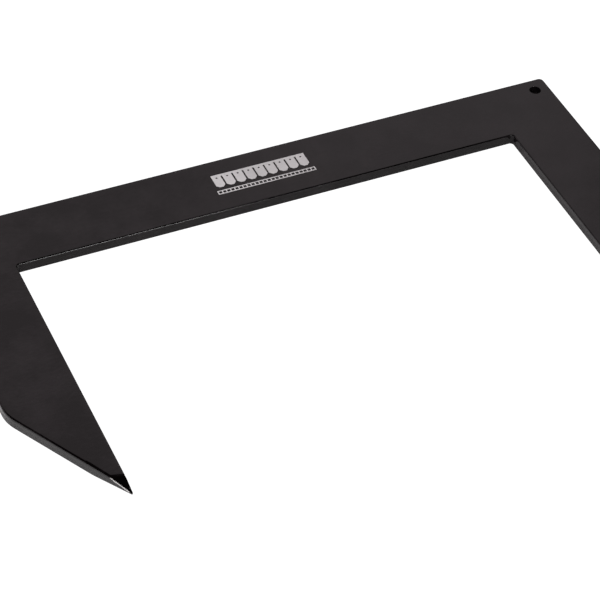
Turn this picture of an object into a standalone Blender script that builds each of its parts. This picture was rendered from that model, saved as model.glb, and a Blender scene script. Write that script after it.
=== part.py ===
"""Slater's bench iron: one flat steel plate cut as a wide staple, with a ground point on each leg and a printed mark.

The plate lies flat on Z = 0. X runs along the bar, the legs point along -Y, and the origin is at the middle of the
bounding box's base. All sizes are in metres.
"""

import math

import bmesh
import bpy
from mathutils import Matrix, Vector

MM = 0.001

# The plate
PLATE_THICKNESS = 6.35 * MM
GAP_BETWEEN_LEGS = 300 * MM
BAR_WIDTH = 41 * MM
LEG_WIDTH = 41 * MM
LEG_REACH = 172 * MM  # from the bar's inner edge to where a leg's two edges would cross
POINT_ANGLE = math.radians(30)  # between a leg's inner edge and its slanted edge
UPPER_EDGE_RADIUS = 0.8 * MM  # blanking draws the edges of one face over
LOWER_EDGE_RADIUS = 0.3 * MM  # and leaves those of the other crisp
OUTER_CORNER_RADIUS = 3 * MM
INNER_CORNER_RADIUS = 2 * MM
SHOULDER_RADIUS = 23 * MM  # where a leg's outer edge turns into the slanted edge
NOSE_RADIUS = 0.4 * MM
ARC_STEP = math.radians(10)

# The ground facets that thin each point, measured back from the tip
ROUNDED_EDGE_END = 7 * MM  # the edges' rounding stops inside the facets
TOP_FACET_AT_INNER_EDGE = 12 * MM
TOP_FACET_AT_SLANT = 14 * MM
TOP_FACET_DROP = 2.6 * MM  # how far the facet has come down at the tip
BOTTOM_FACET_AT_INNER_EDGE = 20 * MM
BOTTOM_FACET_AT_SLANT = 23 * MM
BOTTOM_FACET_RISE = 3.1 * MM

# The hanging hole
HOLE_RADIUS = 3.25 * MM
HOLE_INSET = 9.4 * MM
HOLE_CHAMFER = 0.4 * MM

# The printed mark: slates hung from a batten, over a narrow band
MARK_OFFSET = 2 * MM  # from the middle of the bar, along X
INK_THICKNESS = 0.1 * MM
INK_CLEARANCE = 0.05 * MM
SLATE_COUNT = 9
SLATE_PITCH = 6.4 * MM
SLATE_SPACING = 1 * MM
SLATE_ROW_BASE = 18.4 * MM  # above the bar's inner edge
SLATE_ROW_HEIGHT = 10.4 * MM
SLATE_CLIP = 1.6 * MM  # the cut lower corners of each slate
BATTEN_HEIGHT = 1.4 * MM
NAIL_HOLE_RADIUS = 0.6 * MM
BAND_BASE = 12.8 * MM
BAND_LENGTH = 59.2 * MM
BAND_HEIGHT = 3 * MM
BAND_LINE = 0.6 * MM
BAND_WINDOWS = 24

OVERSHOOT = 5 * MM  # how far a cutter runs past what it cuts

HALF_GAP = GAP_BETWEEN_LEGS / 2
HALF_LENGTH = HALF_GAP + LEG_WIDTH
SHOULDER_REACH = LEG_REACH - LEG_WIDTH / math.tan(POINT_ANGLE)
NOSE_SETBACK = NOSE_RADIUS * (1 / math.tan(POINT_ANGLE / 2) - 1)
# The bar's inner edge is INNER_EDGE_Y above the middle of the bounding box.
INNER_EDGE_Y = (LEG_REACH - NOSE_SETBACK - BAR_WIDTH) / 2
OUTER_EDGE_Y = INNER_EDGE_Y + BAR_WIDTH
TIP_Y = INNER_EDGE_Y - LEG_REACH


def clear_scene():
    """Start from an empty file, and return the collections for parts and cutters."""
    for item in list(bpy.data.objects):
        bpy.data.objects.remove(item, do_unlink=True)
    collections = []
    for name in ("bench_iron", "cutters"):
        collection = bpy.data.collections.new(name)
        bpy.context.scene.collection.children.link(collection)
        collections.append(collection)
    return collections


def principled(name, colour, roughness, metallic, coat=0.0):
    """A plain Principled material."""
    material = bpy.data.materials.new(name)
    material.use_nodes = True
    shader = material.node_tree.nodes["Principled BSDF"]
    shader.inputs["Base Color"].default_value = (*colour, 1.0)
    shader.inputs["Roughness"].default_value = roughness
    shader.inputs["Metallic"].default_value = metallic
    shader.inputs["Coat Weight"].default_value = coat
    material.diffuse_color = (*colour, 1.0)
    return material


def rounded_outline(corners):
    """Replace each (x, y, radius) corner by an arc that is tangent to both of its sides."""
    points = []
    for index, (x, y, radius) in enumerate(corners):
        corner = Vector((x, y))
        if radius == 0:
            points.append(corner)
            continue
        before = Vector(corners[index - 1][:2])
        after = Vector(corners[(index + 1) % len(corners)][:2])
        to_before = (before - corner).normalized()
        to_after = (after - corner).normalized()
        half_angle = to_before.angle(to_after) / 2
        centre = corner + (to_before + to_after).normalized() * (radius / math.sin(half_angle))
        start = corner + to_before * (radius / math.tan(half_angle)) - centre
        end = corner + to_after * (radius / math.tan(half_angle)) - centre
        turn = start.angle_signed(end)
        steps = max(2, round(abs(turn) / ARC_STEP))
        for step in range(steps + 1):
            # angle_signed counts clockwise as positive, and Matrix.Rotation counts it as negative.
            spin = Matrix.Rotation(-turn * step / steps, 2)
            points.append(centre + spin @ start)
    return points


def circle_outline(centre, radius, sides):
    """Points round a circle."""
    angles = [2 * math.pi * step / sides for step in range(sides)]
    return [centre + Vector((math.cos(angle), math.sin(angle))) * radius for angle in angles]


def flat_plate(name, outlines, base, thickness, collection):
    """A closed plate from flat outlines: the first is the outside, and the others are holes in it."""
    curve = bpy.data.curves.new(name + "_outline", "CURVE")
    curve.dimensions = "2D"
    curve.fill_mode = "BOTH"
    curve.extrude = thickness / 2
    for outline in outlines:
        spline = curve.splines.new("POLY")
        spline.points.add(len(outline) - 1)
        for point, (x, y) in zip(spline.points, outline):
            point.co = (x, y, 0.0, 1.0)
        spline.use_cyclic_u = True
    drawn = bpy.data.objects.new(name + "_outline", curve)
    collection.objects.link(drawn)
    bpy.context.view_layer.update()
    mesh = bpy.data.meshes.new_from_object(drawn.evaluated_get(bpy.context.evaluated_depsgraph_get()))
    bpy.data.objects.remove(drawn)
    mesh.transform(Matrix.Translation((0, 0, base + thickness / 2)))
    mesh.name = name
    work = bmesh.new()
    work.from_mesh(mesh)
    bmesh.ops.remove_doubles(work, verts=work.verts, dist=0.002 * MM)
    bmesh.ops.dissolve_limit(work, angle_limit=math.radians(0.1), verts=work.verts, edges=work.edges)
    bmesh.ops.recalc_face_normals(work, faces=work.faces)
    work.to_mesh(mesh)
    work.free()
    plate = bpy.data.objects.new(name, mesh)
    collection.objects.link(plate)
    return plate


def plate_corners():
    """The plate's corners as (x, y, radius), anticlockwise from the left tip."""
    blank_x = ROUNDED_EDGE_END * math.tan(POINT_ANGLE)
    left = [
        (-HALF_GAP, TIP_Y + ROUNDED_EDGE_END, 0),
        (-HALF_GAP, INNER_EDGE_Y, INNER_CORNER_RADIUS),
    ]
    right = [
        (HALF_GAP, INNER_EDGE_Y, INNER_CORNER_RADIUS),
        (HALF_GAP, TIP_Y + ROUNDED_EDGE_END, 0),
        (HALF_GAP, TIP_Y, NOSE_RADIUS),
        (HALF_GAP + blank_x, TIP_Y + ROUNDED_EDGE_END, 0),
        (HALF_LENGTH, INNER_EDGE_Y - SHOULDER_REACH, SHOULDER_RADIUS),
        (HALF_LENGTH, OUTER_EDGE_Y, OUTER_CORNER_RADIUS),
    ]
    outside = [(-x, y, radius) for x, y, radius in reversed(right[2:])]
    return left + right + outside


def round_plate_edges(plate):
    """Round the upper edges, and the lower ones less, all the way along except round the two noses."""
    nose_y = TIP_Y + ROUNDED_EDGE_END - 0.01 * MM
    for height, radius in ((PLATE_THICKNESS, UPPER_EDGE_RADIUS), (0, LOWER_EDGE_RADIUS)):
        work = bmesh.new()
        work.from_mesh(plate.data)
        rims = []
        for edge in work.edges:
            start, end = edge.verts[0].co, edge.verts[1].co
            in_face = max(abs(start.z - height), abs(end.z - height)) < 0.001 * MM
            between_face_and_side = edge.calc_face_angle(0.0) > math.radians(80)
            if in_face and between_face_and_side and (start.y + end.y) / 2 > nose_y:
                rims.append(edge)
        bmesh.ops.bevel(
            work, geom=rims, offset=radius, offset_type="OFFSET", segments=3, profile=0.5,
            affect="EDGES", clamp_overlap=False,
        )
        work.to_mesh(plate.data)
        work.free()


def cut(target, cutter):
    """Subtract a cutter with an exact Boolean."""
    modifier = target.modifiers.new("cut_" + cutter.name, "BOOLEAN")
    modifier.operation = "DIFFERENCE"
    modifier.solver = "EXACT"
    modifier.object = cutter


def as_cutter(item, collection):
    """Keep an object as a cutter: drawn as wire and never rendered."""
    for owner in list(item.users_collection):
        owner.objects.unlink(item)
    collection.objects.link(item)
    item.hide_render = True
    item.display_type = "WIRE"
    return item


def block(name, size):
    """A box that stands on its own origin's XY plane, centred in X and Y."""
    work = bmesh.new()
    bmesh.ops.create_cube(work, size=1.0)
    bmesh.ops.translate(work, verts=work.verts, vec=(0, 0, 0.5))
    bmesh.ops.scale(work, verts=work.verts, vec=size)
    mesh = bpy.data.meshes.new(name)
    work.to_mesh(mesh)
    work.free()
    return bpy.data.objects.new(name, mesh)


def facet_cutter(name, side, at_inner_edge, at_slant, start_z, end_z, collection):
    """A block whose base lies on one ground facet of a leg's point and whose body is the metal ground away.

    The facet starts along a line across the point, from the inner edge to the slanted edge, at the height start_z.
    It passes through the tip at the height end_z. side is -1 for the left leg and 1 for the right leg.
    """
    inner = Vector((side * HALF_GAP, TIP_Y + at_inner_edge, start_z))
    slant = Vector((side * (HALF_GAP + at_slant * math.tan(POINT_ANGLE)), TIP_Y + at_slant, start_z))
    tip = Vector((side * HALF_GAP, TIP_Y, end_z))
    across = (slant - inner).normalized()
    upward = across.cross(tip - inner).normalized()
    if upward.z * (start_z - end_z) < 0:
        upward = -upward
    along = upward.cross(across)
    size = 3 * LEG_WIDTH
    cutter = block(name, (size, size, size))
    cutter.matrix_world = Matrix.Translation(inner) @ Matrix((across, along, upward)).transposed().to_4x4()
    return as_cutter(cutter, collection)


def hole_cutter(collection):
    """The hanging hole: a turned profile with a chamfer at each face of the plate."""
    half_height = PLATE_THICKNESS / 2
    flare = HOLE_RADIUS + HOLE_CHAMFER + OVERSHOOT
    profile = [
        (0, half_height + OVERSHOOT),
        (flare, half_height + OVERSHOOT),
        (HOLE_RADIUS, half_height - HOLE_CHAMFER),
        (HOLE_RADIUS, HOLE_CHAMFER - half_height),
        (flare, -half_height - OVERSHOOT),
        (0, -half_height - OVERSHOOT),
    ]
    mesh = bpy.data.meshes.new("hanging_hole")
    mesh.from_pydata([(radius, 0, z) for radius, z in profile], [(i, i + 1) for i in range(len(profile) - 1)], [])
    cutter = bpy.data.objects.new("hanging_hole", mesh)
    screw = cutter.modifiers.new("turn", "SCREW")
    screw.axis = "Z"
    screw.steps = 36
    screw.render_steps = 36
    screw.use_merge_vertices = True
    screw.merge_threshold = 0.00001
    cutter.location = (HALF_LENGTH - HOLE_INSET, OUTER_EDGE_Y - HOLE_INSET, half_height)
    return as_cutter(cutter, collection)


def steel_plate(parts, cutters):
    """The bar and both spiked legs, one piece of plate."""
    plate = flat_plate("steel_plate", [rounded_outline(plate_corners())], 0, PLATE_THICKNESS, parts)
    round_plate_edges(plate)
    cut(plate, hole_cutter(cutters))
    for side, word in ((-1, "left"), (1, "right")):
        cut(plate, facet_cutter(
            word + "_point_top", side, TOP_FACET_AT_INNER_EDGE, TOP_FACET_AT_SLANT,
            PLATE_THICKNESS, PLATE_THICKNESS - TOP_FACET_DROP, cutters,
        ))
        cut(plate, facet_cutter(
            word + "_point_bottom", side, BOTTOM_FACET_AT_INNER_EDGE, BOTTOM_FACET_AT_SLANT,
            0, BOTTOM_FACET_RISE, cutters,
        ))
    plate.data.materials.append(principled("black_gloss_paint", (0.012, 0.011, 0.0115), 0.25, 0.0, 0.6))
    return plate


def printed_slates(parts, ink):
    """A row of slates with clipped corners, hung side by side from a thin batten, with a nail hole in each."""
    top = INNER_EDGE_Y + SLATE_ROW_BASE + SLATE_ROW_HEIGHT
    base = INNER_EDGE_Y + SLATE_ROW_BASE
    under_batten = top - BATTEN_HEIGHT
    row_length = SLATE_COUNT * SLATE_PITCH - SLATE_SPACING
    row_start = MARK_OFFSET - row_length / 2
    width = SLATE_PITCH - SLATE_SPACING
    outline = [Vector((row_start + row_length, top)), Vector((row_start, top))]
    holes = []
    for index in range(SLATE_COUNT):
        left = row_start + index * SLATE_PITCH
        right = left + width
        if index > 0:
            outline.append(Vector((left, under_batten)))
        outline.append(Vector((left, base + SLATE_CLIP)))
        outline.append(Vector((left + SLATE_CLIP, base)))
        outline.append(Vector((right - SLATE_CLIP, base)))
        outline.append(Vector((right, base + SLATE_CLIP)))
        if index < SLATE_COUNT - 1:
            outline.append(Vector((right, under_batten)))
        nail = Vector(((left + right) / 2, under_batten - 2 * NAIL_HOLE_RADIUS))
        holes.append(circle_outline(nail, NAIL_HOLE_RADIUS, 12))
    height = PLATE_THICKNESS + INK_CLEARANCE
    row = flat_plate("printed_slates", [outline, *holes], height, INK_THICKNESS, parts)
    row.data.materials.append(ink)
    return row


def rectangle(left, base, width, height):
    """The corners of an upright rectangle."""
    right = left + width
    top = base + height
    return [Vector((left, base)), Vector((right, base)), Vector((right, top)), Vector((left, top))]


def printed_band(parts, ink):
    """A narrow band of small open windows under the slates."""
    left = MARK_OFFSET - BAND_LENGTH / 2
    base = INNER_EDGE_Y + BAND_BASE
    outlines = [rectangle(left, base, BAND_LENGTH, BAND_HEIGHT)]
    pitch = (BAND_LENGTH - BAND_LINE) / BAND_WINDOWS
    for index in range(BAND_WINDOWS):
        window_left = left + BAND_LINE + index * pitch
        outlines.append(rectangle(window_left, base + BAND_LINE, pitch - BAND_LINE, BAND_HEIGHT - 2 * BAND_LINE))
    band = flat_plate("printed_band", outlines, PLATE_THICKNESS + INK_CLEARANCE, INK_THICKNESS, parts)
    band.data.materials.append(ink)
    return band


def main():
    parts, cutters = clear_scene()
    steel_plate(parts, cutters)
    ink = principled("pale_grey_ink", (0.58, 0.58, 0.58), 0.5, 0.0)
    printed_slates(parts, ink)
    printed_band(parts, ink)


main()
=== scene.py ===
# %% [markdown]
# This is a slater's bench iron: one flat steel plate, cut as a wide staple with two ground points,
# painted gloss black and printed with a small mark. The points are driven into a bench, and slates are
# trimmed along the bar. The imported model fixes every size, so it is loaded first. Its faces could be
# shaded as they are, but they are coarse, and gloss paint shows every facet. So the plate is worked out
# again as a smooth surface in the same box.

import bmesh
import bpy
import numpy as np
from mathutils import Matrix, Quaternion, Vector


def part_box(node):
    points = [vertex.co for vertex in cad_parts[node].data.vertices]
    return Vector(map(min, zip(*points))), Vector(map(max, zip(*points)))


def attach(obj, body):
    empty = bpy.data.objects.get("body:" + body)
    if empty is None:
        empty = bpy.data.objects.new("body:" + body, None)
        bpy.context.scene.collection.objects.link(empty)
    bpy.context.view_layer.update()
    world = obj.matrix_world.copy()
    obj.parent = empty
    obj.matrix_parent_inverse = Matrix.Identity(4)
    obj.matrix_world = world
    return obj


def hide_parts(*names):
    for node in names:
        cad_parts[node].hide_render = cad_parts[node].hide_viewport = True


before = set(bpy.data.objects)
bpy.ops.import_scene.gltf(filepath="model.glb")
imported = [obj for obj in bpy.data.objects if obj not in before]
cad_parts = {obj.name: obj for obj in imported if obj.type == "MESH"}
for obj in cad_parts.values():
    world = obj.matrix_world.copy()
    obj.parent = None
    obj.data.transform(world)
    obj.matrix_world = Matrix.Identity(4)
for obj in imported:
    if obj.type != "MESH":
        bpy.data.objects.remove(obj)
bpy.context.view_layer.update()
plate_low, plate_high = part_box("steel_plate")
MM = 0.001

# %% [markdown]
# The blank is cut from flat bar stock, so a few sizes describe it all: the widths of the bar and legs,
# the angle of the slanted edge and the radii of the corners. Every length could be typed in, but the
# plate's box already holds three of them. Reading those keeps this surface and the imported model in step.

# %% Sizes of the plate
THICKNESS = plate_high.z
OUTER_EDGE_Y = plate_high.y
HALF_LENGTH = plate_high.x
BAR_WIDTH = 41 * MM
LEG_WIDTH = 41 * MM
INNER_EDGE_Y = OUTER_EDGE_Y - BAR_WIDTH
HALF_GAP = HALF_LENGTH - LEG_WIDTH
POINT_ANGLE = np.radians(30)  # between a leg's inner edge and its slanted edge
NOSE_RADIUS = 0.4 * MM
NOSE_DEPTH = NOSE_RADIUS / np.tan(POINT_ANGLE / 2)
TIP_Y = plate_low.y + NOSE_RADIUS - NOSE_DEPTH  # where a leg's two edges would cross
INNER_CORNER_RADIUS = 2 * MM
OUTER_CORNER_RADIUS = 3 * MM
SHOULDER_RADIUS = 23 * MM
OUTER_EDGE_RADIUS = 1.0 * MM
OUTER_ROLL_OVER = 1.4  # the outer edge was sheared first, and rolls over deeper than it is wide
UPPER_EDGE_RADIUS = 0.8 * MM
LOWER_EDGE_RADIUS = 0.3 * MM
POINT_EDGE_RADIUS = 0.2 * MM
print("gap between the legs:", round(2 * HALF_GAP / MM, 2), "mm")
print("reach of a leg:", round((INNER_EDGE_Y - TIP_Y) / MM, 2), "mm")


# %% [markdown]
# The edge of the plate is two lines that run side by side from one point to the other: the inner edge of
# the staple and the outer edge. A flat shape like this could be a filled curve with a bevel, but a
# curve's bevel can't grow crisp towards the points. So each line is drawn as straight stretches and arcs
# that are kept as arrays.

# %% Lines and arcs
def arc(centre, radius, start, end, count):
    """Points centre + radius (cos a, sin a), with outward normals (cos a, sin a).

    The angles are count of them, evenly from start to end, in degrees.
    """
    angles = np.radians(np.linspace(start, end, count))
    normals = np.stack([np.cos(angles), np.sin(angles)], axis=1)
    return np.array(centre) + radius * normals, normals


def straight(start, end, shares):
    """Points start + f (end - start), with one normal: the direction of travel turned a quarter left."""
    start, end = np.array(start), np.array(end)
    along = (end - start) / np.linalg.norm(end - start)
    normal = np.array([-along[1], along[0]])
    return start + shares[:, None] * (end - start), np.repeat(normal[None], len(shares), axis=0)


def joined(*stretches):
    """Stretches of (points, normals) one after another."""
    return tuple(np.concatenate(parts) for parts in zip(*stretches))


def flipped(stretch):
    """The same points with the normals turned round, for an arc that is seen from inside its circle."""
    return stretch[0], -stretch[1]


def from_second(stretch):
    """A stretch without its first point, which the stretch before it already holds."""
    return stretch[0][1:], stretch[1][1:]


quarter = arc((0, 0), 1, 0, 90, 3)
print("a quarter circle's points:", np.round(quarter[0], 3).tolist())

# %% [markdown]
# The iron is the same on both sides, so only its left half is drawn. The two edges could be sampled each
# at its own spacing, but the surface is going to be a grid between them. So both have the same number of
# samples on every stretch, and a line drawn across from one edge to the other always stays on the plate.

# %% The left half of each edge
NOSE_STEPS = 9
POINT_STEPS = 96
LEG_STEPS = 26
SLANT_STEPS = 10  # the part of the outer edge's leg stretch that is still slanted
SHOULDER_STEPS = 9
CORNER_STEPS = 49
BAR_STEPS = 30
POINT_LENGTH = 27 * MM  # the stretch of each leg that the ground facets need

slant_degrees = np.degrees(POINT_ANGLE)
nose_centre = (-HALF_GAP - NOSE_RADIUS, TIP_Y + NOSE_DEPTH)
shoulder_y = TIP_Y + LEG_WIDTH / np.tan(POINT_ANGLE)
shoulder_tangent = SHOULDER_RADIUS * np.tan(POINT_ANGLE / 2)
point_top_y = TIP_Y + POINT_LENGTH
corner_low_y = INNER_EDGE_Y - INNER_CORNER_RADIUS
straight_inner_x = -HALF_GAP + INNER_CORNER_RADIUS  # where the bar's inner edge turns into the corner's arc
straight_outer_x = -HALF_LENGTH + OUTER_CORNER_RADIUS


def slanted_x(y):
    """The slanted edge's x at each y: it leaves the inner edge at the point's own angle."""
    return -HALF_GAP - (y - TIP_Y) * np.tan(POINT_ANGLE)


def fractions(count):
    """The fractions of a stretch at which its samples lie, from 0 to 1."""
    return np.linspace(0, 1, count)


def left_inner_edge():
    """The staple's inner edge from the left point's nose to the middle of the bar."""
    nose = arc(nose_centre, NOSE_RADIUS, -90, 0, NOSE_STEPS)
    point = straight((-HALF_GAP, nose_centre[1]), (-HALF_GAP, point_top_y), fractions(POINT_STEPS)[1:])
    leg = straight((-HALF_GAP, point_top_y), (-HALF_GAP, corner_low_y), fractions(LEG_STEPS)[1:])
    fillet = arc((straight_inner_x, corner_low_y), INNER_CORNER_RADIUS, 180, 90, CORNER_STEPS)
    bar = straight((straight_inner_x, INNER_EDGE_Y), (0, INNER_EDGE_Y), fractions(BAR_STEPS)[1:])
    return joined(nose, flipped(point), flipped(leg), flipped(from_second(fillet)), flipped(bar))


def slanted(heights):
    """Points of the slanted edge at the given y values, with the one normal they share."""
    normal = np.array([-np.cos(POINT_ANGLE), -np.sin(POINT_ANGLE)])
    return np.stack([slanted_x(heights), heights], axis=1), np.repeat(normal[None], len(heights), axis=0)


def outer_leg():
    """The outer edge beside the leg: the rest of the slant, the shoulder's arc and the straight edge."""
    arc_start_y = shoulder_y - shoulder_tangent * np.cos(POINT_ANGLE)
    arc_end_y = shoulder_y + shoulder_tangent
    slant = slanted(point_top_y + (arc_start_y - point_top_y) * fractions(SLANT_STEPS)[1:])
    centre = (-HALF_LENGTH + SHOULDER_RADIUS, arc_end_y)
    shoulder = arc(centre, SHOULDER_RADIUS, 180 + slant_degrees, 180, SHOULDER_STEPS)
    rest = LEG_STEPS + 2 - SLANT_STEPS - SHOULDER_STEPS
    upright = straight((-HALF_LENGTH, arc_end_y), (-HALF_LENGTH, corner_low_y), fractions(rest)[1:])
    return joined(slant, from_second(shoulder), upright)


def outer_corner():
    """The outer edge beside the inner fillet: up, round the corner and along the bar, a third each."""
    third = fractions((CORNER_STEPS - 1) // 3 + 1)[1:]
    turn_y = OUTER_EDGE_Y - OUTER_CORNER_RADIUS
    rise = straight((-HALF_LENGTH, corner_low_y), (-HALF_LENGTH, turn_y), third)
    corner = arc((straight_outer_x, turn_y), OUTER_CORNER_RADIUS, 180, 90, len(third) + 1)
    run = straight((straight_outer_x, OUTER_EDGE_Y), (straight_inner_x, OUTER_EDGE_Y), third)
    return joined(rise, from_second(corner), run)


def left_outer_edge():
    """The staple's outer edge over the same stretches, from the left nose to the middle of the bar."""
    nose = arc(nose_centre, NOSE_RADIUS, -90, -180 + slant_degrees, NOSE_STEPS)
    start_y = nose[0][-1][1]
    point = slanted(start_y + (point_top_y - start_y) * fractions(POINT_STEPS)[1:])
    bar = straight((straight_inner_x, OUTER_EDGE_Y), (0, OUTER_EDGE_Y), fractions(BAR_STEPS)[1:])
    return joined(nose, point, outer_leg(), outer_corner(), bar)


def mirrored(edge):
    """A half edge followed by its mirror image in the plane X = 0, in the order of travel."""
    points, normals = edge
    turn = np.array([-1.0, 1.0])
    return tuple(np.concatenate([half, half[-2::-1] * turn]) for half in (points, normals))


inner_points, inner_normals = mirrored(left_inner_edge())
outer_points, outer_normals = mirrored(left_outer_edge())
print("edge samples:", len(inner_points), "inner and", len(outer_points), "outer")

# %% [markdown]
# Each point is thinned by a facet ground on its upper side and a longer, shallower one underneath. The
# facets could be cut off with blocks, which would leave hard creases and a new edge to round. Here the
# upper and lower faces are heights that change over the plan, flat except at the points, so a facet's
# crease is as soft as grinding leaves it.

# %% Heights of the two faces
TOP_FACET_AT_INNER_EDGE = 12 * MM
TOP_FACET_AT_SLANT = 14 * MM
TOP_FACET_DROP = 2.6 * MM
BOTTOM_FACET_AT_INNER_EDGE = 20 * MM
BOTTOM_FACET_AT_SLANT = 23 * MM
BOTTOM_FACET_RISE = 3.1 * MM
CREASE_SOFTNESS = 0.06 * MM


def ground_away(x, y, at_inner_edge, at_slant, depth):
    """How deep a facet lies below its face: a plane through the line where it starts and through the tip.

    The plane's depth t grows with the distance past that line. A soft corner, half of t + sqrt(t^2 + s^2),
    keeps it at almost nothing before the line.
    """
    across = np.abs(x) - HALF_GAP
    lean = (at_slant - at_inner_edge) / (at_slant * np.tan(POINT_ANGLE))
    past = TIP_Y + at_inner_edge + lean * across - y
    depth_there = past * depth / at_inner_edge
    return (depth_there + np.sqrt(depth_there**2 + CREASE_SOFTNESS**2)) / 2


def upper_height(x, y):
    """The upper face's z."""
    return THICKNESS - ground_away(x, y, TOP_FACET_AT_INNER_EDGE, TOP_FACET_AT_SLANT, TOP_FACET_DROP)


def lower_height(x, y):
    """The lower face's z."""
    return ground_away(x, y, BOTTOM_FACET_AT_INNER_EDGE, BOTTOM_FACET_AT_SLANT, BOTTOM_FACET_RISE)


tip_thickness = TOP_FACET_DROP + BOTTOM_FACET_RISE
print("steel left at the tip:", round((THICKNESS - tip_thickness) / MM, 2), "mm")

# %% [markdown]
# Paint never covers a knife edge, so every edge of the plate is rounded a little. A Bevel modifier would
# round them all alike. But the press rolled the outer edge over deeper than it is wide, the lower edges
# stayed crisper, and grinding left the points crisp all round. So the rounding is worked out along each
# edge, with its own radius at every sample.

# %% The rounded edges
ROUND_STEPS = 7
SIDE_STEPS = 4
TOP_EASING = 3 * MM  # how far along an edge its rounding takes to become crisp
LOW_EASING = 4 * MM


def smooth_step(value, low, high):
    """0 below low, 1 above high, and 3 t^2 - 2 t^3 between them."""
    share = np.clip((value - low) / (high - low), 0, 1)
    return share * share * (3 - 2 * share)


def edge_radius(y, radius, start, length):
    """The rounding's radius: full from start on, and eased to a crisp edge over the length before it."""
    share = smooth_step(y - TIP_Y, start - length, start)
    return POINT_EDGE_RADIUS + (radius - POINT_EDGE_RADIUS) * share


def rounding(points, normals, height, radius, depth):
    """A quarter ellipse from a face to a side, as rows.

    At the angle a, the inset is radius (1 - sin a) and the drop is depth (1 - cos a).
    """
    angles = np.pi / 2 * fractions(ROUND_STEPS)[:, None]
    inset = radius * (1 - np.sin(angles))
    drop = depth * (1 - np.cos(angles))
    x = points[:, 0] - inset * normals[:, 0]
    y = points[:, 1] - inset * normals[:, 1]
    return np.stack([x, y, height - drop], axis=-1)


def blend_rows(first, last, count):
    """count rows between two rows of points, without the two themselves: first + f (last - first)."""
    shares = fractions(count + 2)[1:-1, None, None]
    return first + shares * (last - first)


def edge_rows(points, normals, radius, roll_over, crisp_from):
    """One edge's rounding at the top, its side, and its rounding underneath, from the upper face down."""
    top_radius = edge_radius(points[:, 1], radius, crisp_from, TOP_EASING)
    low_radius = edge_radius(points[:, 1], LOWER_EDGE_RADIUS, BOTTOM_FACET_AT_SLANT, LOW_EASING)
    top_rim = points - top_radius[:, None] * normals
    low_rim = points - low_radius[:, None] * normals
    top_depth = np.where(top_radius > POINT_EDGE_RADIUS, top_radius * roll_over, top_radius)
    top = rounding(points, normals, upper_height(*top_rim.T), top_radius, top_depth)
    low = rounding(points, normals, lower_height(*low_rim.T), low_radius, -low_radius)[::-1]
    return np.concatenate([top, blend_rows(top[-1], low[0], SIDE_STEPS), low])


outer_rows = edge_rows(outer_points, outer_normals, OUTER_EDGE_RADIUS, OUTER_ROLL_OVER, TOP_FACET_AT_SLANT)
inner_rows = edge_rows(inner_points, inner_normals, UPPER_EDGE_RADIUS, 1, TOP_FACET_AT_INNER_EDGE)
print("rows down the outer edge:", len(outer_rows), "and down the inner edge:", len(inner_rows))

# %% [markdown]
# The plate is one piece of steel, so it is one closed surface. The two edges could be filled in with
# single large faces, but the facets need points between them. So a section is carried along the staple:
# it crosses the upper face, goes down the outer edge, crosses back underneath and comes up the inner
# edge. It ends at the two noses, where the edges meet and the doubled points are merged.

# %% The plate's surface
ACROSS_STEPS = 11
MERGE_DISTANCE = 0.002 * MM


def face_rows(start, end, height):
    """Rows across a face between the two rims, with each point set to the face's own height."""
    rows = blend_rows(start, end, ACROSS_STEPS)
    rows[..., 2] = height(rows[..., 0], rows[..., 1])
    return rows


def plate_grid():
    """The closed section at every sample along the staple, as an array of (row, sample, xyz)."""
    top = face_rows(inner_rows[0], outer_rows[0], upper_height)
    low = face_rows(outer_rows[-1], inner_rows[-1], lower_height)
    return np.concatenate([top, outer_rows, low, inner_rows[::-1]])


def closed_tube_faces(rows, columns):
    """Quads of a grid whose rows close on themselves, wound so that they face outwards."""
    row = np.arange(rows)[:, None]
    column = np.arange(columns - 1)[None, :]
    a = row * columns + column
    b = ((row + 1) % rows) * columns + column
    return np.stack([a, a + 1, b + 1, b], axis=-1).reshape(-1, 4)


def mesh_object(name, points, faces):
    """A mesh object at the origin from arrays of points and quads, with its doubled points merged."""
    mesh = bpy.data.meshes.new(name)
    mesh.from_pydata(points.reshape(-1, 3), [], faces)
    work = bmesh.new()
    work.from_mesh(mesh)
    bmesh.ops.remove_doubles(work, verts=work.verts, dist=MERGE_DISTANCE)
    bmesh.ops.recalc_face_normals(work, faces=work.faces)
    work.to_mesh(mesh)
    work.free()
    mesh.shade_smooth()
    item = bpy.data.objects.new(name, mesh)
    bpy.context.scene.collection.objects.link(item)
    return item


grid = plate_grid()
plate = mesh_object("painted_plate", grid, closed_tube_faces(*grid.shape[:2]))
print("painted_plate:", len(plate.data.vertices), "points")

# %% [markdown]
# The hanging hole is drilled through the sheet, and paint gathers in a small round on its rims. The hole
# could be left open in the grid, but the grid's lines don't go round it. So it is cut, as the real one
# is, by a tool with the hole's own shape: a profile that flares at both faces, turned round the hole's
# axis.

# %% A cutter for the hanging hole
HOLE_RADIUS = 3.25 * MM
HOLE_INSET = 9.4 * MM
UPPER_LIP = 0.25 * MM
LOWER_LIP = 0.15 * MM
CUTTER_OVERHANG = 2 * MM
CUTTER_SIDES = 64


def turned(profile, centre, count):
    """A profile of (radius, z) turned round an upright axis: centre + radius (cos a, sin a), at z."""
    angles = np.linspace(0, 2 * np.pi, count, endpoint=False)
    x = centre[0] + profile[:, :1] * np.cos(angles)
    y = centre[1] + profile[:, :1] * np.sin(angles)
    z = np.repeat(profile[:, 1:], count, axis=1)
    points = np.stack([x, y, z], axis=-1)
    row = np.arange(len(profile) - 1)[:, None]
    column = np.arange(count)[None, :]
    a = row * count + column
    b = row * count + (column + 1) % count
    return points, np.stack([a, b, b + count, a + count], axis=-1).reshape(-1, 4)


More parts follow.
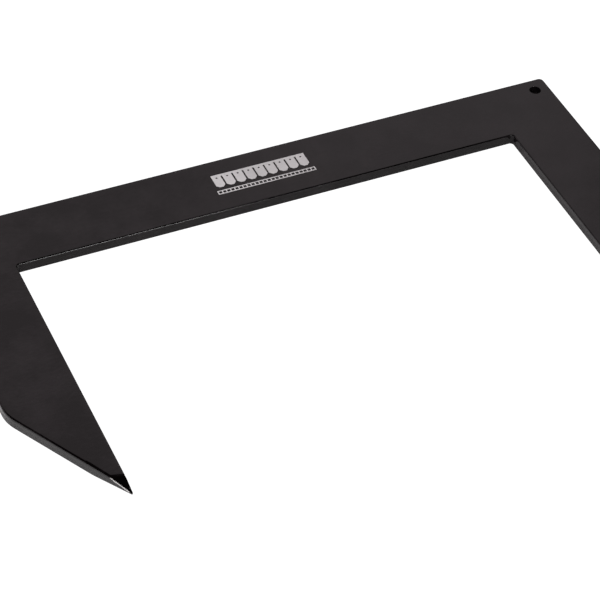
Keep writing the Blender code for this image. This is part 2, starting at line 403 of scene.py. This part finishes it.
def hole_profile():
    """The cutter's outline: out from the axis, round the upper lip, down the bore, round the lower lip.

    A lip's points are HOLE_RADIUS + lip (1 - cos a) from the axis and lip (1 - sin a) from the face.
    """
    angles = np.radians(np.linspace(90, 0, 9))
    flare = 1 - np.cos(angles)
    drop = 1 - np.sin(angles)
    top = np.stack([HOLE_RADIUS + UPPER_LIP * flare, THICKNESS - UPPER_LIP * drop], axis=1)
    low = np.stack([HOLE_RADIUS + LOWER_LIP * flare, LOWER_LIP * drop], axis=1)[::-1]
    upper = np.array([[0, THICKNESS + CUTTER_OVERHANG], [top[0, 0], THICKNESS + CUTTER_OVERHANG]])
    lower = np.array([[low[-1, 0], -CUTTER_OVERHANG], [0, -CUTTER_OVERHANG]])
    return np.concatenate([upper, top, low, lower])


hole_centre = (HALF_LENGTH - HOLE_INSET, OUTER_EDGE_Y - HOLE_INSET)
cutter = mesh_object("hole_cutter", *turned(hole_profile(), hole_centre, CUTTER_SIDES))
print("cutter:", len(cutter.data.polygons), "faces")

# %% [markdown]
# A Boolean modifier takes the cutter out of the plate. It could be left live, but the masks that come
# later need the points round the hole, so it is applied and the cutter removed. Smooth shading would then
# bend across the hole's rims and leave streaks on the flat face. So the two rims are marked as sharp
# edges, and a Weighted Normal modifier lets the large flat faces decide how the plate is shaded.

# %% Drill the hole
LEVEL = 0.001 * MM
NEAR = 0.01 * MM
FLAT_FACE_WEIGHT = 80


def drill(item):
    """Take the cutter out of a piece with an exact Boolean, and apply it."""
    modifier = item.modifiers.new("hanging hole", "BOOLEAN")
    modifier.operation = "DIFFERENCE"
    modifier.solver = "EXACT"
    modifier.object = cutter
    depsgraph = bpy.context.evaluated_depsgraph_get()
    mesh = bpy.data.meshes.new_from_object(item.evaluated_get(depsgraph))
    item.modifiers.clear()
    undrilled = item.data
    item.data = mesh
    bpy.data.meshes.remove(undrilled)
    mesh.name = item.name


def vertex_places(mesh):
    """The x, y and z of every vertex, as three arrays."""
    places = np.empty(3 * len(mesh.vertices))
    mesh.vertices.foreach_get("co", places)
    return places.reshape(-1, 3).T


def on_circle(places, centre, radius, height):
    """Which points lie on a level circle: near it in plan, and level with it."""
    x, y, z = places
    off_circle = np.hypot(x - centre[0], y - centre[1]) - radius
    return (np.abs(off_circle) < NEAR) & (np.abs(z - height) < LEVEL)


def sharpen_rims(mesh, centre):
    """Mark the two circles where the lips meet the faces as sharp."""
    places = vertex_places(mesh)
    upper = on_circle(places, centre, HOLE_RADIUS + UPPER_LIP, THICKNESS)
    lower = on_circle(places, centre, HOLE_RADIUS + LOWER_LIP, 0)
    ends = np.empty(2 * len(mesh.edges), dtype=int)
    mesh.edges.foreach_get("vertices", ends)
    first, second = ends.reshape(-1, 2).T
    on_rim = (upper[first] & upper[second]) | (lower[first] & lower[second])
    sharp = mesh.attributes.get("sharp_edge")
    if sharp is None:
        sharp = mesh.attributes.new("sharp_edge", "BOOLEAN", "EDGE")
    sharp.data.foreach_set("value", on_rim)
    return int(on_rim.sum())


drill(plate)
bpy.data.objects.remove(cutter)
rim_edges = sharpen_rims(plate.data, hole_centre)
weighted = plate.modifiers.new("flat faces stay flat", "WEIGHTED_NORMAL")
weighted.keep_sharp = True
weighted.weight = FLAT_FACE_WEIGHT
print("drilled:", len(plate.data.polygons), "faces, with", rim_edges, "sharp edges round the hole")

# %% [markdown]
# The finish changes over the plate. The sides were sheared by the press, so they are rougher than the
# rolled faces. The facets are left without the haze, which keeps them darker than the faces: painted shade.
# The slanted edge of each point has been filed bright just under its facet. These areas could be separate
# materials, but then their borders would have to follow the mesh. Each is a mask kept on the mesh as an
# attribute instead, worked out from where every point lies, and the material draws the border.

# %% Masks for the sides, the facets and the filed edges
SIDE_FROM_TOP = (0.6 * MM, 1.1 * MM)  # the sides' finish comes in between these depths
SIDE_FROM_BASE = (0.1 * MM, 0.28 * MM)
FACET_DEPTHS = (0.05 * MM, 0.25 * MM)
FILED_DEPTH = 0.95 * MM  # how far down the slanted side the strip reaches
FILED_MARGIN = 0.1 * MM
FILED_FADES = (11 * MM, 16 * MM)  # how far from the tip the strip runs out
FILED_ABOVE_BASE = 0.3 * MM
FILED_FROM_TIP = 2.5 * MM


def add_mask(mesh, name, values):
    """Store one number for each point of a mesh."""
    mask = mesh.attributes.new(name, "FLOAT", "POINT")
    mask.data.foreach_set("value", values.astype(np.float32))


def filed_strip(from_tip, inside_slant, below_top, above_base):
    """How far each point lies inside the filed strip, in mm: its least distance from the borders."""
    fading = smooth_step(from_tip, *FILED_FADES)
    reach = FILED_DEPTH - (FILED_DEPTH + FILED_MARGIN) * fading
    borders = [
        FILED_MARGIN - inside_slant,
        reach - below_top,
        above_base - FILED_ABOVE_BASE,
        from_tip - FILED_FROM_TIP,
    ]
    return np.clip(np.min(borders, axis=0) / MM, -1, 1)


def mask_plate(mesh):
    """Three masks, from each point's distances to the two faces, to the slanted edge and to the tip."""
    x, y, z = vertex_places(mesh)
    below_top = upper_height(x, y) - z
    above_base = z - lower_height(x, y)
    from_tip = y - TIP_Y
    from_inner_edge = np.abs(x) - HALF_GAP
    inside_slant = (from_tip * np.tan(POINT_ANGLE) - from_inner_edge) * np.cos(POINT_ANGLE)
    sheared = smooth_step(below_top, *SIDE_FROM_TOP) * smooth_step(above_base, *SIDE_FROM_BASE)
    # The facet mask takes the haze off the facets: painted shade that keeps them darker.
    facet = smooth_step(THICKNESS - upper_height(x, y), *FACET_DEPTHS)
    filed = filed_strip(from_tip, inside_slant, below_top, above_base)
    add_mask(mesh, "sheared_side", sheared)
    add_mask(mesh, "ground_facet", facet)
    add_mask(mesh, "filed_edge", filed)
    return sheared, filed


sheared, filed = mask_plate(plate.data)
print("points on sheared sides:", int((sheared > 0.5).sum()))
print("points on filed edges:", int((filed > 0).sum()))

# %% [markdown]
# Every material below starts with the same few steps: a place on the piece, a noise of a given grain
# there, and a range to squeeze it into. They could be placed by hand each time, but a dozen bare nodes
# hide what they are for. As small helpers, they let a material read as a list of what is on the real
# surface. Grains are in metres.

# %% Places, noise and ranges
def new_material(name):
    """A material with its Principled shader, ready for links."""
    material = bpy.data.materials.new(name)
    material.use_nodes = True
    return material, material.node_tree


def stretched(tree, source, stretch):
    """Coordinates multiplied along X, Y and Z: a larger number makes a pattern finer that way."""
    mapping = tree.nodes.new("ShaderNodeMapping")
    mapping.inputs["Scale"].default_value = stretch
    tree.links.new(source, mapping.inputs["Vector"])
    return mapping.outputs["Vector"]


def noise(tree, vector, grain, detail=2.0, roughness=0.5):
    """Noise with patches about grain metres across."""
    node = tree.nodes.new("ShaderNodeTexNoise")
    node.inputs["Scale"].default_value = 1 / grain
    node.inputs["Detail"].default_value = detail
    node.inputs["Roughness"].default_value = roughness
    tree.links.new(vector, node.inputs["Vector"])
    return node.outputs["Fac"]


def squeezed(tree, value, low, high, start=0.0, end=1.0):
    """A value's range from low to high, moved to the range from start to end."""
    node = tree.nodes.new("ShaderNodeMapRange")
    for name, number in (("From Min", low), ("From Max", high), ("To Min", start), ("To Max", end)):
        node.inputs[name].default_value = number
    tree.links.new(value, node.inputs["Value"])
    return node.outputs["Result"]


print("a 1.5 mm grain is a noise scale of", round(1 / (1.5 * MM), 1))

# %% [markdown]
# Paint, dust and bare metal lie over one another, so the materials have to mix them. Each layer could be
# a shader of its own, but mixed shaders are slow, and an export may lose them. So single colours and
# numbers are mixed by a share, 0 where the first shows and 1 where the second does. Bumps are stacked,
# each in its real height.

# %% Mixes, bumps and masks
def combined(tree, operation, first, second):
    """Two values put through one arithmetic step; either may be a plain number."""
    node = tree.nodes.new("ShaderNodeMath")
    node.operation = operation
    for socket, value in zip(node.inputs, (first, second)):
        if isinstance(value, (int, float)):
            socket.default_value = value
        else:
            tree.links.new(value, socket)
    return node.outputs["Value"]


def mixed_colour(tree, share, first, second):
    """A mix of two colours by a share that changes over the surface."""
    node = tree.nodes.new("ShaderNodeMix")
    node.data_type = "RGBA"
    tree.links.new(share, node.inputs["Factor"])
    for socket, value in ((node.inputs[6], first), (node.inputs[7], second)):
        if isinstance(value, tuple):
            socket.default_value = value
        else:
            tree.links.new(value, socket)
    return node.outputs[2]


def mixed_value(tree, share, first, second):
    """A mix of two numbers by a share that changes over the surface."""
    node = tree.nodes.new("ShaderNodeMix")
    tree.links.new(share, node.inputs["Factor"])
    for socket, value in ((node.inputs[2], first), (node.inputs[3], second)):
        if isinstance(value, (int, float)):
            socket.default_value = value
        else:
            tree.links.new(value, socket)
    return node.outputs[0]


def bump(tree, height, depth, under=None):
    """A bump whose height of 1 stands depth metres high, laid over another normal if one is given."""
    node = tree.nodes.new("ShaderNodeBump")
    node.inputs["Strength"].default_value = 1.0
    node.inputs["Distance"].default_value = depth
    tree.links.new(height, node.inputs["Height"])
    if under is not None:
        tree.links.new(under, node.inputs["Normal"])
    return node.outputs["Normal"]


def attribute(tree, name):
    """A mask stored on the mesh."""
    node = tree.nodes.new("ShaderNodeAttribute")
    node.attribute_name = name
    return node.outputs["Fac"]


masks = [item.name for item in plate.data.attributes if item.data_type == "FLOAT"]
print("masks to mix by:", masks)

# %% [markdown]
# Handling leaves the same thin haze on the paint and on the ink: soft cloudy patches, and a scatter of
# tiny specks of dust. It could be painted into each material, but then it would break where the ink
# starts. So it is one node group with two masks as its outputs, and each material decides what the haze
# does to it.

# %% The handling haze group
CLOUD_PATCH = 18 * MM
FINE_PATCH = 1.6 * MM
SPECK_SPACING = 5.5 * MM


def handling_haze():
    """Cloud: soft patches of two sizes, added. Specks: a small disc in a third of the cells."""
    group = bpy.data.node_groups.new("handling_haze", "ShaderNodeTree")
    vector_in = group.interface.new_socket("Vector", in_out="INPUT", socket_type="NodeSocketVector")
    vector_in.description = "Object coordinates, in metres"
    for mask in ("Cloud", "Specks"):
        group.interface.new_socket(mask, in_out="OUTPUT", socket_type="NodeSocketFloat")
    entry = group.nodes.new("NodeGroupInput")
    leave = group.nodes.new("NodeGroupOutput")
    place = entry.outputs["Vector"]
    wide = noise(group, place, CLOUD_PATCH, detail=3)
    fine = noise(group, stretched(group, place, (0.45, 1, 1)), FINE_PATCH, detail=3, roughness=0.65)
    wide_part = combined(group, "MULTIPLY", wide, 0.6)
    fine_part = combined(group, "MULTIPLY", fine, 0.4)
    cloud = combined(group, "ADD", wide_part, fine_part)
    group.links.new(squeezed(group, cloud, 0.42, 0.68), leave.inputs["Cloud"])
    cells = group.nodes.new("ShaderNodeTexVoronoi")
    cells.inputs["Scale"].default_value = 1 / SPECK_SPACING
    group.links.new(place, cells.inputs["Vector"])
    disc = squeezed(group, cells.outputs["Distance"], 0.07, 0.2, 1.0, 0.0)
    chosen = group.nodes.new("ShaderNodeSeparateColor")
    group.links.new(cells.outputs["Color"], chosen.inputs["Color"])
    few = combined(group, "GREATER_THAN", chosen.outputs["Red"], 0.66)
    group.links.new(combined(group, "MULTIPLY", disc, few), leave.inputs["Specks"])
    return group


haze_group = handling_haze()


def haze(tree, place):
    """The haze group placed in a material: its cloud and its specks."""
    node = tree.nodes.new("ShaderNodeGroup")
    node.node_tree = haze_group
    tree.links.new(place, node.inputs["Vector"])
    return node.outputs["Cloud"], node.outputs["Specks"]


print("haze group:", [item.name for item in haze_group.interface.items_tree])

# %% [markdown]
# A press shears steel in two stages. The blade first burnishes the upper third of the side, and then the
# rest tears, with upright scores that the paint only half fills. The scores could be modelled, but they
# are about a hundredth of a millimetre deep. So they are a noise stretched upright, and the height
# decides where they tear.

# %% The sheared sides' finish
SCORE_GRAIN = 0.7 * MM
SCORE_STRETCH = (1, 1, 0.12)
TORN_FROM = THICKNESS * 0.72  # the height at which the burnished part starts to tear
TORN_BELOW = THICKNESS * 0.60
RAGGED_GRAIN = 3 * MM
RAGGED_HEIGHT = 0.9 * MM


def scored_sides(tree, place):
    """Upright scores as a height, and a share that is 1 where the metal tore."""
    scores = noise(tree, stretched(tree, place, SCORE_STRETCH), SCORE_GRAIN, detail=4, roughness=0.6)
    split = tree.nodes.new("ShaderNodeSeparateXYZ")
    tree.links.new(place, split.inputs["Vector"])
    ragged = combined(tree, "MULTIPLY", noise(tree, place, RAGGED_GRAIN), RAGGED_HEIGHT)
    height = combined(tree, "ADD", split.outputs["Z"], ragged)
    torn = squeezed(tree, height, TORN_FROM, TORN_BELOW)
    return scores, torn


print("a side tears below", round(TORN_BELOW / MM, 2), "to", round(TORN_FROM / MM, 2), "mm")

# %% [markdown]
# The paint is a sprayed gloss black. It could be one black with one roughness, but its colour is close to
# nothing and what is seen on it is the room in its glossy skin. So its look is in the roughness and the
# bump: a shallow orange peel about 1.5 mm across, longer ripples from the rolled steel under it, and a
# few nibs of dust. The filed edges of the points show bare steel.

# %% Black paint
PAINT_BLACK = (0.0008, 0.0004, 0.0005, 1)
PAINT_HAZE = (0.0085, 0.0070, 0.0076, 1)
PAINT_IOR = 1.5
BARE_STEEL = (0.66, 0.65, 0.64, 1)
FACE_ROUGHNESS = (0.10, 0.16)  # each is where its haze or scores are least, and where they are most
BURNISHED_ROUGHNESS = (0.17, 0.24)
TORN_ROUGHNESS = (0.32, 0.46)
FILED_ROUGHNESS = 0.42
FILED_BORDER = 0.04  # the strip's border fades over this many mm to each side
BURNISHED_DEPTH = 0.35  # how deep the scores are on the burnished part, as a share of the torn part's
RIPPLE_GRAIN = 4.5 * MM
RIPPLE_STRETCH = (0.25, 1, 1)
RIPPLE_HEIGHT = 0.005 * MM
PEEL_GRAIN = 1.5 * MM
PEEL_HEIGHT = 0.004 * MM
SPECK_HEIGHT = 0.006 * MM
SCORE_HEIGHT = 0.012 * MM


def skin_bump(tree, place, specks, scores, rough_side):
    """The paint's skin: ripples, orange peel on them, dust on that, and the sheared sides' scores."""
    peel = noise(tree, place, PEEL_GRAIN, detail=1)
    ripple = noise(tree, stretched(tree, place, RIPPLE_STRETCH), RIPPLE_GRAIN, detail=2)
    normal = bump(tree, ripple, RIPPLE_HEIGHT)
    normal = bump(tree, peel, PEEL_HEIGHT, normal)
    normal = bump(tree, specks, SPECK_HEIGHT, normal)
    score_height = combined(tree, "MULTIPLY", scores, rough_side)
    return bump(tree, score_height, SCORE_HEIGHT, normal)


def paint_roughness(tree, cloud, scores, torn, rough_side):
    """Smooth on the faces, a little rougher where hazed, and rough on the sides."""
    on_faces = squeezed(tree, cloud, 0.0, 1.0, *FACE_ROUGHNESS)
    where_burnished = squeezed(tree, scores, 0.3, 0.7, *BURNISHED_ROUGHNESS)
    where_torn = squeezed(tree, scores, 0.3, 0.7, *TORN_ROUGHNESS)
    on_sides = mixed_value(tree, torn, where_burnished, where_torn)
    return mixed_value(tree, rough_side, on_faces, on_sides)


def black_paint():
    """Gloss black, hazed on the faces, scored on the sides and bare on the filed strips."""
    material, tree = new_material("black_gloss_paint")
    shader = tree.nodes["Principled BSDF"]
    shader.inputs["IOR"].default_value = PAINT_IOR
    place = tree.nodes.new("ShaderNodeTexCoord").outputs["Object"]
    cloud, specks = haze(tree, place)
    # Painted shade: the haze is taken off the ground facets, so they stay darker than the faces.
    off_facet = squeezed(tree, attribute(tree, "ground_facet"), 0.0, 1.0, 1.0, 0.0)
    cloud = combined(tree, "MULTIPLY", cloud, off_facet)
    scores, torn = scored_sides(tree, place)
    depth = mixed_value(tree, torn, BURNISHED_DEPTH, 1.0)
    rough_side = combined(tree, "MULTIPLY", attribute(tree, "sheared_side"), depth)
    filed_share = squeezed(tree, attribute(tree, "filed_edge"), -FILED_BORDER, FILED_BORDER)

    painted = mixed_colour(tree, cloud, PAINT_BLACK, PAINT_HAZE)
    tree.links.new(mixed_colour(tree, filed_share, painted, BARE_STEEL), shader.inputs["Base Color"])
    tree.links.new(filed_share, shader.inputs["Metallic"])
    roughness = paint_roughness(tree, cloud, scores, torn, rough_side)
    tree.links.new(mixed_value(tree, filed_share, roughness, FILED_ROUGHNESS), shader.inputs["Roughness"])
    tree.links.new(skin_bump(tree, place, specks, scores, rough_side), shader.inputs["Normal"])
    return material


paint = black_paint()
plate.data.materials.clear()
plate.data.materials.append(paint)
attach(plate, "root")
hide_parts("steel_plate")
print("paint nodes:", len(paint.node_tree.nodes))

# %% [markdown]
# The mark is screen printed: a matt pale grey film, a little thin in places, with the screen's fine weave
# still in it. It could be a mask in the paint, but a mask's border is soft and the film does stand on the
# paint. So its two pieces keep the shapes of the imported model, which are already crisp and thin, and only
# take this finish.

# %% Grey ink
INK_GREY = (0.60, 0.585, 0.59, 1)
INK_THIN = (0.47, 0.46, 0.465, 1)
WEAVE_GRAIN = 0.25 * MM
WEAVE_HEIGHT = 0.01 * MM


def grey_ink():
    """Matt grey that is thinner under the haze's clouds and specks, with the weave as a bump."""
    material, tree = new_material("grey_screen_ink")
    shader = tree.nodes["Principled BSDF"]
    place = tree.nodes.new("ShaderNodeTexCoord").outputs["Object"]
    cloud, specks = haze(tree, place)
    thin_patches = squeezed(tree, cloud, 0.0, 1.0, 0.0, 0.6)
    pinholes = combined(tree, "MULTIPLY", specks, 0.4)
    thin = combined(tree, "ADD", thin_patches, pinholes)
    tree.links.new(mixed_colour(tree, thin, INK_GREY, INK_THIN), shader.inputs["Base Color"])
    tree.links.new(squeezed(tree, cloud, 0.0, 1.0, 0.5, 0.62), shader.inputs["Roughness"])
    weave = noise(tree, place, WEAVE_GRAIN, detail=1)
    tree.links.new(bump(tree, weave, WEAVE_HEIGHT), shader.inputs["Normal"])
    return material


ink = grey_ink()
for name in ("printed_slates", "printed_band"):
    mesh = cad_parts[name].data
    mesh.materials.clear()
    mesh.materials.append(ink)
print("ink nodes:", len(ink.node_tree.nodes))

# %% [markdown]
# The floor is a plain pale sheet. One matt material could serve, but then its white would depend on every
# lamp. So to the camera it is simply white, as paper lit from behind would be, and to everything else it
# is a matt pale grey. The plate's sides still reflect a real floor, with the plate's own shadow on it.

# %% Floor
FLOOR_HALF = 8.0
FLOOR_GREY = 0.8
FLOOR_WHITE = 1.1  # a little over 1, so that the sheet is clear white


def pale_floor():
    """A square sheet at z = 0."""
    corners = np.array([(-1, -1, 0), (1, -1, 0), (1, 1, 0), (-1, 1, 0)]) * FLOOR_HALF
    mesh = bpy.data.meshes.new("floor")
    mesh.from_pydata(corners, [], [(0, 1, 2, 3)])
    item = bpy.data.objects.new("floor", mesh)
    bpy.context.scene.collection.objects.link(item)
    material, tree = new_material("pale_floor")
    matt = tree.nodes["Principled BSDF"]
    matt.inputs["Base Color"].default_value = (FLOOR_GREY, FLOOR_GREY, FLOOR_GREY, 1)
    matt.inputs["Roughness"].default_value = 0.9
    white = tree.nodes.new("ShaderNodeEmission")
    white.inputs["Strength"].default_value = FLOOR_WHITE
    seen = tree.nodes.new("ShaderNodeLightPath")
    mix = tree.nodes.new("ShaderNodeMixShader")
    tree.links.new(seen.outputs["Is Camera Ray"], mix.inputs["Fac"])
    tree.links.new(matt.outputs["BSDF"], mix.inputs[1])
    tree.links.new(white.outputs["Emission"], mix.inputs[2])
    tree.links.new(mix.outputs["Shader"], tree.nodes["Material Output"].inputs["Surface"])
    mesh.materials.append(material)
    return item


floor = pale_floor()
print("floor side:", 2 * FLOOR_HALF, "m")

# %% [markdown]
# Gloss black shows its surroundings and little else. A few bright lamps could light it, but each would
# leave a hot spot with black round it. So the lights are laid out as what the plate should mirror. A dim
# wall behind fills the upper face evenly, and others stand round it for the sides. A low box in front
# draws the thin bright line on the rounded edge. The lamp that lights the ink is kept out of the gloss,
# as a flag on a stand would do.

# %% Walls and boxes
WALL_TINT = (1.066, 0.948, 0.986)
FILL_TINT = (1.03, 0.975, 0.99)


def aimed(item, place, target):
    """Put an object at place, with its -Z towards target."""
    item.location = place
    item.rotation_mode = "QUATERNION"
    item.rotation_quaternion = (Vector(target) - Vector(place)).to_track_quat("-Z", "Y")


def panel(name, direction, distance, size, radiance, tint=(1, 1, 1), in_gloss=True):
    """A rectangular lamp of even radiance. An area lamp's radiance is its power over pi times its area."""
    lamp = bpy.data.lights.new(name, "AREA")
    lamp.shape = "RECTANGLE"
    lamp.size, lamp.size_y = size
    lamp.energy = radiance * np.pi * size[0] * size[1]
    lamp.color = tint
    item = bpy.data.objects.new(name, lamp)
    bpy.context.scene.collection.objects.link(item)
    aimed(item, Vector(direction).normalized() * distance, (0, 0, 0))
    item.visible_camera = False
    item.visible_glossy = in_gloss
    return item


# name, direction from the plate's middle, distance, (width, height), radiance, tint
panel("back_wall", (0.172, 0.769, 0.616), 1.6, (1.6, 0.95), 0.415, WALL_TINT)
panel("back_wall_glow", (0.41, 0.672, 0.616), 1.6, (0.46, 0.95), 0.075, WALL_TINT)
panel("left_wall", (-0.62, 0.66, 0.40), 1.6, (1.0, 0.9), 0.34, WALL_TINT)
panel("front_box", (0.172, -0.96, 0.235), 2.0, (0.6, 0.26), 21.0)
panel("right_wall", (0.93, -0.20, 0.30), 2.0, (1.3, 0.6), 0.30)
panel("front_right_wall", (0.72, -0.62, 0.30), 2.0, (0.7, 0.6), 0.30)
panel("front_left_wall", (-0.30, -0.90, 0.32), 2.0, (0.9, 0.6), 0.40)
panel("fill_lamp", (-0.35, -0.62, 0.70), 2.0, (1.2, 1.2), 5.6, FILL_TINT, in_gloss=False)


# %% [markdown]
# The sides that face left mirror the floor beside them, and are as bright as that floor is. A stronger
# fill lamp could brighten it, but it would bleach the ink too. So one soft spot lamp lights that part of
# the floor, low from behind on the left, and is itself kept out of the gloss.

# %% The spot on the floor
def spot(name, direction, distance, target, power, cone):
    """A soft-edged spot lamp kept out of the gloss, aimed at target from along a direction."""
    lamp = bpy.data.lights.new(name, "SPOT")
    lamp.energy = power
    lamp.spot_size = np.radians(cone)
    lamp.spot_blend = 1.0
    lamp.shadow_soft_size = 0.06
    item = bpy.data.objects.new(name, lamp)
    bpy.context.scene.collection.objects.link(item)
    aimed(item, Vector(target) + Vector(direction).normalized() * distance, target)
    item.visible_glossy = False
    return item


spot("floor_spot", (-0.72, 0.60, 0.35), 1.5, (-0.21, -0.05, 0), 165, 28)
lamps = [item for item in bpy.context.scene.objects if item.type == "LIGHT"]
print("lamps:", len(lamps))

# %% [markdown]
# The rest of the room is a dim studio: a little light low down, from walls far off, and darkness
# overhead. One grey could stand for it, but the dark lines on the rounded edges are the dark ceiling
# mirrored. So the background fades with height, and only the camera sees it as plain white.

# %% World
NEAR_HORIZON = (0.08, 0.077, 0.078, 1)
OVERHEAD = (0.015, 0.015, 0.015, 1)


def dim_studio():
    """A background that fades from grey low down to dark overhead. To the camera it is plain white."""
    world = bpy.data.worlds.new("dim_studio")
    world.use_nodes = True
    tree = world.node_tree
    room = tree.nodes["Background"]
    place = tree.nodes.new("ShaderNodeTexCoord").outputs["Generated"]
    split = tree.nodes.new("ShaderNodeSeparateXYZ")
    tree.links.new(place, split.inputs["Vector"])
    fade = squeezed(tree, split.outputs["Z"], 0.0, 0.5, 0.0, 1.0)
    tree.links.new(mixed_colour(tree, fade, NEAR_HORIZON, OVERHEAD), room.inputs["Color"])
    white = tree.nodes.new("ShaderNodeBackground")
    white.inputs["Color"].default_value = (1, 1, 1, 1)
    seen = tree.nodes.new("ShaderNodeLightPath")
    mix = tree.nodes.new("ShaderNodeMixShader")
    tree.links.new(seen.outputs["Is Camera Ray"], mix.inputs["Fac"])
    tree.links.new(room.outputs["Background"], mix.inputs[1])
    tree.links.new(white.outputs["Background"], mix.inputs[2])
    tree.links.new(mix.outputs["Shader"], tree.nodes["World Output"].inputs["Surface"])
    return world


bpy.context.scene.world = dim_studio()
bpy.context.scene.view_settings.view_transform = "Standard"
print("world:", bpy.context.scene.world.name)

# %% [markdown]
# The camera looks down across the plate from beyond the left leg, tilted a little to one side. A wide
# lens close by would frame the same corner, but the legs would splay. A long lens from over a metre away
# keeps them straight.

# %% Camera
AIM = Vector((-0.01772, -0.00944, 0.00035))
DISTANCE = 1.2021
AZIMUTH = np.radians(26.867)
ELEVATION = np.radians(43.724)
ROLL = np.radians(3.699)
LENS = 135.98


def place_camera():
    """A look-at from AIM back along the azimuth and elevation, then rolled about its own axis."""
    lens = bpy.data.cameras.new("camera")
    lens.sensor_width = 36
    lens.lens = LENS
    item = bpy.data.objects.new("camera", lens)
    bpy.context.scene.collection.objects.link(item)
    level = np.cos(ELEVATION)
    back = Vector((-np.sin(AZIMUTH) * level, -np.cos(AZIMUTH) * level, np.sin(ELEVATION)))
    item.location = AIM + DISTANCE * back
    item.rotation_mode = "QUATERNION"
    item.rotation_quaternion = (-back).to_track_quat("-Z", "Y") @ Quaternion((0, 0, 1), ROLL)
    return item


bpy.context.scene.camera = place_camera()
print("camera:", [round(value, 3) for value in bpy.context.scene.camera.location])
